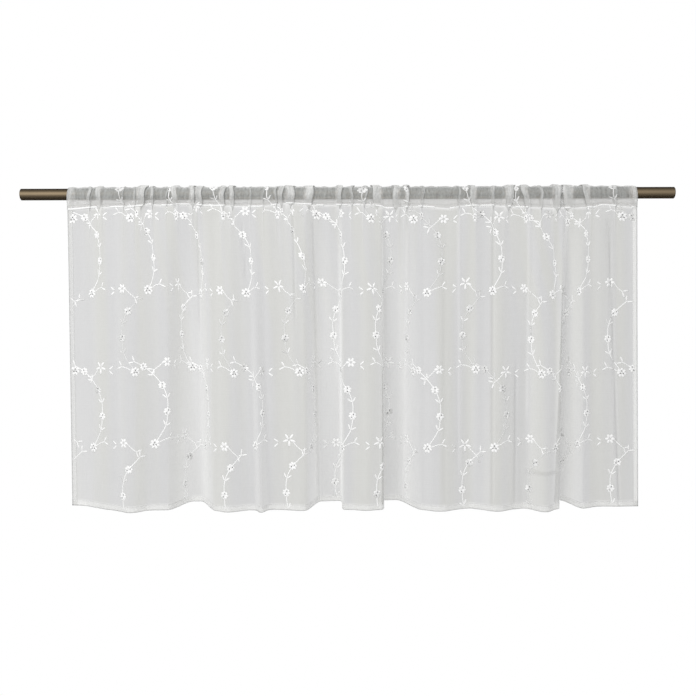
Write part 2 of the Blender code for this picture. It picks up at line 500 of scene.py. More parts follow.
# %% Measure the pocket's height
POCKET_FINE = np.linspace(0.0, len(POCKET_TABLE) - 1.0, 400)
POCKET_LENGTH = length_along(pocket_point(np.array(0.25), POCKET_FINE))
print("pocket", round(1000 * POCKET_LENGTH[-1], 1), "mm round")


def cloth_point(flat, below):
    """A point of the cloth from its place on the flat panel: across, and below the seam."""
    down = np.maximum(below, 0.0) / SKIRT
    across = find_across(flat, down)
    place = np.interp(np.maximum(-below, 0.0), POCKET_LENGTH, POCKET_FINE)
    return np.where((below >= 0.0)[..., None], skirt_point(across, down), pocket_point(across, place))


def cloth_normal(flat, below):
    """The way the cloth's front faces at a place on the flat panel."""
    step = 0.4 * MM
    right = cloth_point(flat + step, below) - cloth_point(flat - step, below)
    downwards = cloth_point(flat, below + step) - cloth_point(flat, below - step)
    facing = np.cross(right, downwards)
    facing = facing / np.maximum(np.linalg.norm(facing, axis=-1, keepdims=True), 1e-12)
    return -facing

# %% [markdown]
# ## The panel's mesh
# The sheet starts as a flat grid, because a grid keeps its rows and columns
# straight and every fold can be aimed at with them. Columns stand close where
# the cloth turns quickly and far apart where it is flat. Extra rows and columns
# past the edges are laid back behind the cloth: these are the turned hems, two
# layers thick, and their colour is painted whiter than the rest, a painted light
# for the light that the two layers pass to each other.

# %% Columns and rows
FLAT_STEP = 2.6 * MM
PLEAT_STEPS = 10
RAMP_STEPS = 4
SIDE_STEPS = 12
FRONT_ROWS = 58
ROW_CROWDING = 1.35
TURNED_IN = 0.42
HEM_ROWS = 5
POCKET_ROWS = 30
TURN_IN_ROWS = 4
SIDE_HEM_COLUMNS = 4
LAYER_GAP = 0.45 * MM


def column_places():
    """Places across the heading, close together where the cloth turns."""
    density = np.full_like(FINE, 1.0 / FLAT_STEP)
    hem_places = follow_thread(FINE)
    for gather in GATHER:
        distance = np.abs(FINE - gather["middle"]) / gather["width"]
        density = np.where(distance < 0.55, np.maximum(density, PLEAT_STEPS / gather["width"]), density)
        in_ramp = distance < 0.5 + PLEAT_RAMP
        density = np.where(in_ramp, np.maximum(density, RAMP_STEPS / gather["width"] / PLEAT_RAMP), density)
    for fold in BACK:
        for foot, width in ((fold["start"], fold["start_side"]), (fold["end"], -fold["end_side"])):
            share = (hem_places - foot) / width
            on_side = (share > -0.1) & (share < 1.1)
            density = np.where(on_side, np.maximum(density, SIDE_STEPS / abs(width)), density)
    total = length_along(np.stack([np.zeros_like(FINE), np.cumsum(density) * (FINE[1] - FINE[0])], axis=1))
    return np.interp(np.linspace(0.0, total[-1], int(total[-1]) + 1), total, FINE)


def side_hem(edge, inwards):
    """Places from a side edge inwards, for the cloth that is turned back there."""
    return edge + inwards * SIDE_HEM * np.linspace(0.0, 1.0, SIDE_HEM_COLUMNS + 1)[1:]


main_columns = column_places()
COLUMNS = np.concatenate([side_hem(CLOTH_LEFT, 1)[::-1], main_columns, side_hem(CLOTH_RIGHT, -1)])
COLUMN_LAYER = np.zeros(len(COLUMNS))
COLUMN_LAYER[:SIDE_HEM_COLUMNS] = 1.0
COLUMN_LAYER[-SIDE_HEM_COLUMNS:] = 1.0
print(len(COLUMNS), "columns")

# %% Rows from the turned hem up and over the rod
def front_shares():
    """Shares of the way down, closer together near the seam."""
    even = np.linspace(0.0, 1.0, FRONT_ROWS)
    return even ** ROW_CROWDING


NEAR_SEAM = np.array((0.5, 1.0, 1.6, 2.2)) * MM
NEAR_PRESSED = np.array((-6.0, -4.0, -2.0, 0.0, 2.0, 4.0, 6.0)) * MM
hem_share = BOTTOM_HEM / SKIRT
hem_back_rows = 1.0 - hem_share * np.linspace(1.0, 0.0, HEM_ROWS + 1)[:-1]
hem_front_rows = 1.0 - hem_share * np.linspace(0.0, 1.0, HEM_ROWS)
pressed_rows = PRESSED_LINE["down"] + NEAR_PRESSED / SKIRT
wanted_rows = [front_shares(), NEAR_SEAM / SKIRT, pressed_rows, hem_front_rows]
front_rows = np.unique(np.concatenate(wanted_rows))[::-1]
last_place = len(POCKET_TABLE) - 1.0
pocket_rows = last_place * np.linspace(0.0, 1.0, POCKET_ROWS + 1)[1:]
pocket_rows = np.unique(np.concatenate([pocket_rows, np.interp(NEAR_SEAM, POCKET_LENGTH, POCKET_FINE)]))
turn_in_rows = last_place - TURNED_IN * np.linspace(0.0, 1.0, TURN_IN_ROWS + 1)[1:]

ROW_PLACE = np.concatenate([hem_back_rows, front_rows, pocket_rows, turn_in_rows])
ROW_IS_POCKET = np.arange(len(ROW_PLACE)) >= len(hem_back_rows) + len(front_rows)
ROW_LAYER = np.zeros(len(ROW_PLACE))
ROW_LAYER[:HEM_ROWS] = 1.0
ROW_LAYER[-TURN_IN_ROWS:] = 1.0
print(len(ROW_PLACE), "rows,", 2 * (len(ROW_PLACE) - 1) * (len(COLUMNS) - 1), "triangles")

# %% Points of the panel
def panel_points(columns, places):
    """Every point of the sheet, row by row, with no hem laid back yet."""
    shape = np.broadcast(columns, places).shape
    is_pocket = np.broadcast_to(ROW_IS_POCKET[:, None], shape)
    skirt = skirt_point(columns, np.where(is_pocket, 0.0, places))
    pocket = pocket_point(columns, np.where(is_pocket, places, 0.0))
    return np.where(is_pocket[..., None], pocket, skirt)


def panel_facing(columns, places):
    """The way the sheet's outer face looks at each point."""
    step = 0.2 * MM
    row_step = np.where(ROW_IS_POCKET, 0.01, 0.0005)[:, None]
    right = panel_points(columns + step, places) - panel_points(columns - step, places)
    up_way = np.where(ROW_IS_POCKET, 1.0, -1.0)[:, None, None]
    upwards = (panel_points(columns, places + row_step) - panel_points(columns, places - row_step)) * up_way
    facing = np.cross(right, upwards)
    return facing / np.maximum(np.linalg.norm(facing, axis=-1, keepdims=True), 1e-12)


grid_columns = np.broadcast_to(COLUMNS, (len(ROW_PLACE), len(COLUMNS)))
grid_places = np.broadcast_to(ROW_PLACE[:, None], grid_columns.shape)
layers = ROW_LAYER[:, None] + COLUMN_LAYER[None, :]
PANEL_POINTS = panel_points(grid_columns, grid_places)
facing_out = panel_facing(grid_columns, grid_places)
PANEL_POINTS = PANEL_POINTS - facing_out * (layers * LAYER_GAP)[..., None]
reach = PANEL_POINTS.reshape(-1, 3)
print("panel reaches", np.round(reach.min(0), 4), np.round(reach.max(0), 4))

# %% Make the sheet
def make_piece(name, bm):
    """Put a finished bmesh in the scene as one named object."""
    mesh = bpy.data.meshes.new(name)
    bm.to_mesh(mesh)
    bm.free()
    thing = bpy.data.objects.new(name, mesh)
    bpy.context.scene.collection.objects.link(thing)
    return thing


def grid_piece(name, points):
    """A sheet whose grid of vertices is moved to an array of points."""
    row_count, column_count = points.shape[:2]
    bm = bmesh.new()
    bmesh.ops.create_grid(bm, x_segments=column_count - 1, y_segments=row_count - 1, size=1.0)
    piece = make_piece(name, bm)
    flat = np.empty(3 * row_count * column_count, np.float32)
    piece.data.vertices.foreach_get("co", flat)
    flat = flat.reshape(-1, 3)
    column = np.rint(0.5 * (flat[:, 0] + 1.0) * (column_count - 1)).astype(int)
    row = np.rint(0.5 * (flat[:, 1] + 1.0) * (row_count - 1)).astype(int)
    piece.data.vertices.foreach_set("co", points[row, column].astype(np.float32).ravel())
    piece.data.shade_smooth()
    piece.data.update()
    return piece, row, column


curtain, sheet_row, sheet_column = grid_piece("curtain", PANEL_POINTS)

# %% [markdown]
# ## What the finish needs to know
# The weave has to follow the cloth, so the sheet gets a UV map that is the flat
# panel in metres. A few numbers are stored on the points as well: the painted
# light of the doubled hems, the seam and the gathers, where the cloth is pocket,
# turned away or a steep wall, the painted shade and light of the creases, and
# the painted light where other cloth would light it up from behind.

# %% Store the flat panel on the sheet
def store_number(piece, name, values):
    """Keep one number for each vertex under a name that a material can read."""
    layer = piece.data.attributes.new(name, "FLOAT", "POINT")
    layer.data.foreach_set("value", np.ascontiguousarray(values, np.float32))


def store_flat_map(piece, flat_x, flat_y):
    """Give each face corner its place on the flat cloth."""
    corners = np.empty(len(piece.data.loops), np.int32)
    piece.data.loops.foreach_get("vertex_index", corners)
    uv = piece.data.uv_layers.new(name="flat_cloth")
    uv.data.foreach_set("uv", np.stack([flat_x[corners], flat_y[corners]], axis=1).astype(np.float32).ravel())


# Painted light: how much whiter the colour is painted on the doubled hems, the gathers, in back folds and in
# front of tucked sides
BOTTOM_HEM_PAINTED_LIGHT = 0.80
LEFT_HEM_PAINTED_LIGHT = 0.5
RIGHT_HEM_PAINTED_LIGHT = 0.9
END_BAND = 10.5 * MM
GATHER_PAINTED_LIGHT = 0.9
RECESSED_BY = 30 * MM
RECESSED_PAINTED_LIGHT = 0.35
BESIDE_WALL_PAINTED_LIGHT = 0.6
BESIDE_WALL_REACH = 0.8 * MM
BESIDE_WALL_WIDENS = 0.025
BESIDE_WALL_FULL = 200 * MM
CREASE_DEEPEST = 2.5 * MM


# Mask of the painted light on the cloth in front of a tucked side
def beside_walls(hem_across):
    """Where the cloth lies in front of a tucked side, which shows more the further out it is."""
    beside = np.zeros_like(hem_across)
    for fold in BACK:
        for foot, way, tuck in ((fold["start"], -1, fold["start_tuck"]), (fold["end"], 1, fold["end_tuck"])):
            if tuck > 0.0:
                reach = BESIDE_WALL_REACH + BESIDE_WALL_WIDENS * abs(foot)
                shows = min(1.0, abs(foot) / BESIDE_WALL_FULL)
                beside = np.maximum(beside, shows * bump(hem_across - foot - way * 0.25 * reach, reach))
    return beside


grid_down = np.where(ROW_IS_POCKET, 0.0, ROW_PLACE)[:, None]
grid_flat = flat_across(grid_columns, np.broadcast_to(grid_down, grid_columns.shape))
row_below = np.where(
    ROW_IS_POCKET,
    -np.interp(ROW_PLACE, POCKET_FINE, POCKET_LENGTH),
    ROW_PLACE * SKIRT,
)
hem_row = smooth_step((ROW_PLACE - (1.0 - hem_share)) / 0.004 + 0.5) * ~ROW_IS_POCKET
edge_distance = np.minimum(COLUMNS - CLOTH_LEFT, CLOTH_RIGHT - COLUMNS)
side_band = np.where(ROW_IS_POCKET, END_BAND, SIDE_HEM)[:, None]
side_painted_light = np.where(COLUMNS < 0.0, LEFT_HEM_PAINTED_LIGHT, RIGHT_HEM_PAINTED_LIGHT)
hem_column = side_painted_light * smooth_step((side_band - edge_distance[None, :]) / (1.5 * MM) + 0.5)
seam_row = bump(row_below, 3.2 * MM)
# Painted light: the doubled hems and the seam are painted whiter
doubled_painted_light = np.maximum(np.maximum(hem_row * BOTTOM_HEM_PAINTED_LIGHT, seam_row)[:, None], hem_column)
# Painted light: the gathers over the rod are painted whiter
gathered_painted_light, _ = pleats(COLUMNS)
gathered_painted_light = GATHER_PAINTED_LIGHT * np.clip(gathered_painted_light / (2.0 * MM), 0.0, 1.0)[None, :]
turned_away = 1.0 - np.abs(facing_out[..., 1])
# Steep fold walls in the skirt, which the material opens up a little as painted light
walls = smooth_step((turned_away - 0.6) / 0.3) * ~ROW_IS_POCKET[:, None]
# Painted light: back folds and the cloth in front of tucked sides are painted whiter, standing in for light
# from behind
recessed_painted_light = RECESSED_PAINTED_LIGHT * smooth_step(PANEL_POINTS[..., 1] / RECESSED_BY) * ~ROW_IS_POCKET[:, None]
beside = BESIDE_WALL_PAINTED_LIGHT * beside_walls(follow_thread(COLUMNS))[None, :] * grid_down ** FOLD_GROWTH
# Painted shade and light: crease valleys and the pressed line get more cover and look darker, ridges get less
# and look lighter
crease_painted_shading = crease_lines(COLUMNS[None, :], grid_down, [c["forward"] / CREASE_DEEPEST for c in CREASE])
crease_painted_shading = (crease_painted_shading - pressed_line(COLUMNS[None, :], grid_down)) * ~ROW_IS_POCKET[:, None]
near_rod = np.where(ROW_IS_POCKET, 1.0, np.exp(-ROW_PLACE / 0.015))[:, None]
store_flat_map(curtain, grid_flat[sheet_row, sheet_column], row_below[sheet_row])
store_number(curtain, "doubled_painted_light", doubled_painted_light[sheet_row, sheet_column])
store_number(curtain, "pocket", ROW_IS_POCKET[sheet_row])
store_number(curtain, "gathered_painted_light", (gathered_painted_light * near_rod)[sheet_row, sheet_column])
store_number(curtain, "turned_away", turned_away[sheet_row, sheet_column])
store_number(curtain, "crease_painted_shading", crease_painted_shading[sheet_row, sheet_column])
store_number(curtain, "walls", walls[sheet_row, sheet_column])
store_number(curtain, "back_painted_light", np.maximum(recessed_painted_light, beside)[sheet_row, sheet_column])
print("flat width", round(float(grid_flat.max()), 3), "m")

# %% [markdown]
# ## The garlands
# The stitching is satin stitch: each petal and leaf is a small raised pad of
# parallel threads, and the stems are rows of short slanting stitches. One
# rounded pad is modelled and copied for every stitch.
# The garlands are first laid out flat, as they were stitched, and the whole
# layout is then carried onto the hung cloth.

# %% Sizes of the stitching
GARLAND_STEP = 101 * MM
GARLAND_ROW = 106.5 * MM
FIRST_ROW = 19 * MM
OTHER_ROW_SHIFT = 36 * MM
ROW_UNEVEN = 4 * MM
SPRAY_TILT = 0.10
LEAF = {"length": 8.2 * MM, "width": 2.5 * MM}
PETAL = {"length": 9.0 * MM, "width": 3.7 * MM, "from_middle": 5.2 * MM}
KNOT = {"length": 5.0 * MM, "width": 4.7 * MM, "from_middle": 3.3 * MM}
EYE = {"length": 1.9 * MM, "width": 1.9 * MM, "from_middle": 2.4 * MM, "lift": 0.35 * MM}
BIG_KNOT = {"length": 5.8 * MM, "width": 4.6 * MM, "from_middle": 4.2 * MM}
STEM = {"length": 4.8 * MM, "width": 1.5 * MM, "step": 2.9 * MM, "slant": 0.15}
EYE_TONE = -1.0
PAD_RISE = 0.14
PAD_MOST = 0.4 * MM
PAD_CLEAR = 0.05 * MM
DULL_SHARE = 0.10
DULL_ARCH_SHARE = 0.28
DULL_ARCH_TONE = 0.35
LEAF_OPENING = math.radians(40)

# One arch of the vine in mm: right and down from its widest point's column
ARCH = ((-46, -13), (-32, -5), (-18, 7.5), (-7, 21), (0, 39), (0, 57), (-3, 77), (-18, 102))
SHORT_ARCH = ((-26, 5), (-10, 21), (-1, 39), (0, 58), (-3, 80), (-19, 105))

# %% Collect stitches on the flat cloth
stitches = []
chance = np.random.default_rng(11)


def add_stitch(x, y, angle, size, tone=1.0, kind="pad"):
    """Note one stitch: its middle, its direction, its size and how bright it is."""
    if kind == "pad":
        tone = max(tone, chance.uniform(0.0, 1.0))
    lift = size.get("lift", 0.0)
    stitches.append((x, y, angle, size["length"], size["width"], tone, kind == "stem", lift))


def motif_tone(brightest):
    """Most motifs are bright, and a few catch little light."""
    return 0.0 if chance.random() < DULL_SHARE else brightest


def add_leaves(x, y, angle, brightest=1.0):
    """A pair of leaves that open like a V along a direction."""
    tone = motif_tone(brightest)
    for side in (-1, 1):
        way = angle + side * LEAF_OPENING
        reach = 0.62 * LEAF["length"]
        add_stitch(x + reach * math.cos(way), y + reach * math.sin(way), way, LEAF, tone)


def add_flower(x, y, turn, petals, size, brightest=1.0):
    """A ring of petals round an open middle."""
    tone = motif_tone(brightest)
    for petal in range(petals):
        way = turn + 2.0 * math.pi * petal / petals
        reach = size["from_middle"]
        add_stitch(x + reach * math.cos(way), y + reach * math.sin(way), way, size, tone)


def add_eyes(x, y, turn, count):
    """Small dark gaps between the petals of a round knot."""
    for eye in range(count):
        way = turn + 2.0 * math.pi * eye / count
        reach = EYE["from_middle"]
        add_stitch(x + reach * math.cos(way), y + reach * math.sin(way), way, EYE, EYE_TONE, "eye")


def add_stem(points, tone=1.0):
    """Short slanting stitches along a smooth line."""
    line = smooth_line(points)
    length = length_along(line)
    count = max(2, int(length[-1] / STEM["step"]))
    for place in np.linspace(0.0, length[-1], count):
        x, y = (np.interp(place, length, line[:, axis]) for axis in (0, 1))
        ahead = min(place + 1.0 * MM, length[-1])
        behind = max(place - 1.0 * MM, 0.0)
        dx, dy = (np.diff(np.interp((behind, ahead), length, line[:, axis]))[0] for axis in (0, 1))
        add_stitch(x, y, math.atan2(dy, dx) + STEM["slant"], STEM, tone, "stem")


def smooth_line(points, steps=8):
    """A smooth curve through a few points."""
    p = np.array(points, float)
    p = np.vstack([2 * p[0] - p[1], p, 2 * p[-1] - p[-2]])
    line = []
    for p0, p1, p2, p3 in zip(p, p[1:], p[2:], p[3:]):
        for share in np.linspace(0.0, 1.0, steps, endpoint=False):
            bend = (2 * p0 - 5 * p1 + 4 * p2 - p3) * share ** 2
            line.append(0.5 * (2 * p1 + (p2 - p0) * share + bend + (3 * p1 - p0 - 3 * p2 + p3) * share ** 3))
    line.append(p[-2])
    return np.array(line)

# %% One arch of the vine and the spray beside it
def add_arch(middle, row_top, side, long_start):
    """A stem with leaves and knots by turns, ending in a big knot."""
    table = ARCH if long_start else SHORT_ARCH
    points = [(middle + side * x * MM, row_top + y * MM) for x, y in table]
    brightest = DULL_ARCH_TONE if chance.random() < DULL_ARCH_SHARE else 1.0
    add_stem(points, brightest)
    for index, (x, y) in enumerate(points):
        before = points[max(index - 1, 0)]
        after = points[min(index + 1, len(points) - 1)]
        back_way = math.atan2(before[1] - after[1], before[0] - after[0])
        leaf_turn = (len(points) - index) % 2 == 0
        if index == len(points) - 1:
            add_flower(x, y, 0.3, 7, BIG_KNOT)
            add_eyes(x, y, 0.5, 3)
        elif leaf_turn:
            add_leaves(x, y, back_way, brightest)
        else:
            add_flower(x, y, back_way, 7, KNOT, brightest)
            add_eyes(x, y, back_way + 0.5, 2)
    return points[-1]


def add_spray(x, y, side, starred):
    """The short garland that runs sideways from an arch's end."""
    way = 0.0 if side > 0 else math.pi
    tilt = chance.uniform(-SPRAY_TILT, SPRAY_TILT)

    def along(right, down):
        return x + side * right * MM, y + (down + tilt * right) * MM

    add_stem([along(5, -2), along(13, -6), along(20, -8)])
    add_leaves(*along(20, -8), way - side * 0.3)
    add_leaves(*along(43, -3), math.pi - way)
    if starred:
        add_flower(*along(57, -7), 0.31, 5, PETAL)
    else:
        add_flower(*along(55, -6), 0.0, 6, BIG_KNOT)
    add_stem([along(62, -4), along(68, 2), along(74, 7)])
    add_leaves(*along(74, 7), way + side * 0.5)

# %% Lay out the garlands
FLAT_WIDTH = float(HEM_LENGTH[-1])
GARLAND_START = float(flat_across(np.array(132 * MM), np.array(0.12)))
first_unit = -int(GARLAND_START / GARLAND_STEP) - 2
last_unit = int((FLAT_WIDTH - GARLAND_START) / GARLAND_STEP) + 2

for row in range(-1, 5):
    bulges_right = row % 2 == 0
    side = 1 if bulges_right else -1
    row_top = FIRST_ROW + row * GARLAND_ROW
    for unit in range(first_unit, last_unit + 1):
        middle = GARLAND_START + unit * GARLAND_STEP + (0.0 if bulges_right else OTHER_ROW_SHIFT)
        middle += chance.uniform(-1.5, 1.5) * MM
        end = add_arch(middle, row_top + chance.uniform(-ROW_UNEVEN, ROW_UNEVEN), side, bulges_right)
        add_spray(*end, side, (unit + row) % 2 == 0)
print(len(stitches), "stitches laid out")

# %% Keep the stitches that are on the cloth
EDGE_MARGIN = 4.5 * MM
BELOW_MOST = SKIRT - 2.0 * MM
ABOVE_MOST = -0.86 * float(POCKET_LENGTH[-1])
stitch = np.array(stitches, float)
on_cloth = (stitch[:, 0] > EDGE_MARGIN) & (stitch[:, 0] < FLAT_WIDTH - EDGE_MARGIN)
on_cloth &= (stitch[:, 1] > ABOVE_MOST) & (stitch[:, 1] < BELOW_MOST - 0.5 * stitch[:, 3])
stitch = stitch[on_cloth]
print(len(stitch), "stitches kept")

# %% One pad, copied for every stitch
def unit_pad(around, rings):
    """A rounded pad with its points at -1 and 1 along X."""
    bm = bmesh.new()
    bmesh.ops.create_uvsphere(bm, u_segments=around, v_segments=rings, radius=1.0)
    bm.verts.ensure_lookup_table()
    corners = np.array([vertex.co for vertex in bm.verts])
    faces = [[vertex.index for vertex in face.verts] for face in bm.faces]
    bm.free()
    return corners[:, [2, 0, 1]], faces


def lay_pads(name, chosen, around, rings):
    """Copy the unit pad to each chosen stitch and carry all of them onto the cloth."""
    corners, faces = unit_pad(around, rings)
    along = corners[None, :, 0] * 0.5 * chosen[:, 3:4]
    aside = corners[None, :, 1] * 0.5 * chosen[:, 4:5]
    rise = np.minimum(PAD_RISE * chosen[:, 4:5], PAD_MOST)
    height = corners[None, :, 2] * rise + PAD_CLEAR + chosen[:, 7:8]
    cosine, sine = np.cos(chosen[:, 2:3]), np.sin(chosen[:, 2:3])
    flat_x = (chosen[:, 0:1] + along * cosine - aside * sine).ravel()
    flat_y = (chosen[:, 1:2] + along * sine + aside * cosine).ravel()
    points = cloth_point(flat_x, flat_y) + cloth_normal(flat_x, flat_y) * height.ravel()[:, None]
    starts = np.arange(len(chosen))[:, None] * len(corners)
    all_faces = [
        [start + index for index in face]
        for start in starts.ravel().tolist()
        for face in faces
    ]
    mesh = bpy.data.meshes.new(name)
    mesh.from_pydata(points.tolist(), [], all_faces)
    piece = bpy.data.objects.new(name, mesh)
    bpy.context.scene.collection.objects.link(piece)
    store_number(piece, "along", along.ravel())
    store_number(piece, "tone", np.repeat(chosen[:, 5], len(corners)))
    mesh.shade_smooth()
    print(name, len(points), "points", len(all_faces), "faces")
    return piece


is_stem = stitch[:, 6] > 0.5
garland_flowers = lay_pads("garland_flowers", stitch[~is_stem], 6, 4)
garland_stems = lay_pads("garland_stems", stitch[is_stem], 6, 4)

# %% [markdown]
# ## Sewing
# A straight row of small stitches holds the pocket's seam, the bottom hem and
# the two side hems. The same pads serve, only much smaller.

# %% Rows of sewing
SEWN = {"length": 2.1 * MM, "width": 0.5 * MM}
SEAM_ROLL = {"length": 5.4 * MM, "width": 3.3 * MM}
SEAM_ROLL_SHARE = 0.9
SEWN_STEP = 3.0 * MM
stitches = []
hem_line = SKIRT - BOTTOM_HEM + 1.0 * MM
side_line = SIDE_HEM - 1.5 * MM
for x in np.arange(3 * MM, FLAT_WIDTH - 3 * MM, SEWN_STEP):
    if math.sin(x * 71) + math.sin(x * 173) > SEAM_ROLL_SHARE - 1.0:
        add_stitch(x, 0.3 * MM, 0.0, SEAM_ROLL, 1.0, "stem")
    add_stitch(x, hem_line, 0.0, SEWN, 0.9, "stem")
for y in np.arange(3 * MM, SKIRT - 3 * MM, SEWN_STEP):
    add_stitch(side_line, y, 0.5 * math.pi, SEWN, 0.9, "stem")
    add_stitch(FLAT_WIDTH - side_line, y, 0.5 * math.pi, SEWN, 0.9, "stem")
sewing = lay_pads("sewing", np.array(stitches, float), 6, 4)

# %% [markdown]
# ## The rod
# The rod is a plain round bar with square ends whose edges are just broken. A
# profile is spun round the axis, because spinning gives a true round with even
# facets, and the ends close on the axis.

# %% Spin the rod
END_BREAK = 0.5 * MM
ROD_FACETS = 96


def spin_rod():
    """Spin half of the rod's outline round the X axis."""
    outline = (
        (-ROD_END, 0.0),
        (-ROD_END, ROD_RADIUS - END_BREAK),
        (-ROD_END + END_BREAK, ROD_RADIUS),
        (ROD_END - END_BREAK, ROD_RADIUS),
        (ROD_END, ROD_RADIUS - END_BREAK),
        (ROD_END, 0.0),
    )
    bm = bmesh.new()
    corners = [bm.verts.new((x, 0.0, radius)) for x, radius in outline]
    edges = [bm.edges.new(pair) for pair in zip(corners, corners[1:])]
    bmesh.ops.spin(
        bm,
        geom=corners + edges,
        cent=(0.0, 0.0, 0.0),
        axis=(1.0, 0.0, 0.0),
        angle=2.0 * math.pi,
        steps=ROD_FACETS,
        use_merge=True,
    )
    bmesh.ops.remove_doubles(bm, verts=bm.verts, dist=0.00001)
    bmesh.ops.recalc_face_normals(bm, faces=bm.faces)
    rod = make_piece("curtain_rod", bm)
    rod.data.shade_smooth()
    rod.data.set_sharp_from_angle(angle=math.radians(30))
    return rod


curtain_rod = spin_rod()
print("rod faces", len(curtain_rod.data.polygons))

# %% [markdown]
# ## Shader maths
# Materials are easier to read as sums than as wires. This small class wraps
# one socket of a node tree, and its operators add the Math nodes.

# %% Wrap a socket
class Value:
    """One output socket, with arithmetic that adds Math nodes."""

    def __init__(self, tree, socket):
        self.tree = tree
        self.socket = socket

    def node(self, kind, settings=(), **sockets):
        """Add any node, set its settings, and give its sockets values or links."""
        new = self.tree.nodes.new(kind)
        for name, value in dict(settings).items():
            setattr(new, name, value)
        for name, value in sockets.items():
            key = int(name[1:]) if name[0] == "i" and name[1:].isdigit() else name.replace("_", " ")
            plug(self.tree, new.inputs[key], value)
        return new

    def maths(self, operation, other=None, third=None):
        """Add one Math node."""
        given = {f"i{index}": value for index, value in enumerate((self, other, third)) if value is not None}
        return Value(self.tree, self.node("ShaderNodeMath", {"operation": operation}, **given).outputs[0])

    def __add__(self, other):
        return self.maths("ADD", other)

    def __sub__(self, other):
        return self.maths("SUBTRACT", other)

    def __rsub__(self, other):
        return self.maths("MULTIPLY", -1.0).maths("ADD", other)

    def __mul__(self, other):
        return self.maths("MULTIPLY", other)

    __radd__ = __add__
    __rmul__ = __mul__


def plug(tree, socket, value):
    """Set a socket to a number or colour, or link it to another."""
    if isinstance(value, Value):
        tree.links.new(value.socket, socket)
    else:
        socket.default_value = value

# %% Start a material
def new_material(name, **settings):
    """A material with one Principled shader, whose fixed values are set here."""
    finish = bpy.data.materials.new(name)
    finish.use_nodes = True
    tree = finish.node_tree
    shader = tree.nodes["Principled BSDF"]
    for socket, value in settings.items():
        shader.inputs[socket.replace("_", " ")].default_value = value
    return finish, tree, shader


def read_number(tree, name):
    """A number that is stored on the mesh."""
    attribute = tree.nodes.new("ShaderNodeAttribute")
    attribute.attribute_name = name
    return Value(tree, attribute.outputs["Fac"])


def mix_colours(start, low, high, share):
    """Blend two colours by a share."""
    mix = start.node("ShaderNodeMix", {"data_type": "RGBA"}, i0=share, i6=low, i7=high)
    return Value(start.tree, mix.outputs[2])

# %% [markdown]
# ## Voile
# Voile is a plain weave of fine, tightly twisted threads with small gaps, so
# it lets part of the light straight through. Here the gaps are an alpha below
# one, the threads are a fine ripple in that alpha, and the odd thicker thread
# shows as a faint streak. Where the cloth is doubled or gathered the threads
# light each other up, and that light is painted into the colour, so it is
# whiter there. Fold walls, back folds and the band under the rod get painted
# light as well, and the cloth over the rod gets a painted shade.

# %% Voile material
COOL_COLOUR = (0.524, 0.525, 0.528, 1.0)
WARM_COLOUR = (0.531, 0.532, 0.502, 1.0)
ROD_SHADED_COLOUR = (0.482, 0.495, 0.485, 1.0)
# Painted light: the whiter colour that all the painted light marks are mixed towards
PAINTED_LIGHT_COLOUR = (0.90, 0.90, 0.885, 1.0)
SKIRT_COVER = 0.70
POCKET_COVER = 0.66
GRAIN_DEPTH = 0.55
WALL_PAINTED_LIGHT = 0.6
THREAD_PITCH = 0.55 * MM
THREAD_DEPTH = 0.05
SLUB_DEPTH = 0.11
DOUBLED_OPENS = 0.16
STREAKS_ON_ROD = 0.5
UNDER_ROD_PAINTED_LIGHT = 0.85
ROD_SHADE_EDGE = 0.9 * MM
CREASE_PAINTED_SHADING = 0.13
WALL_OPENS = 0.1


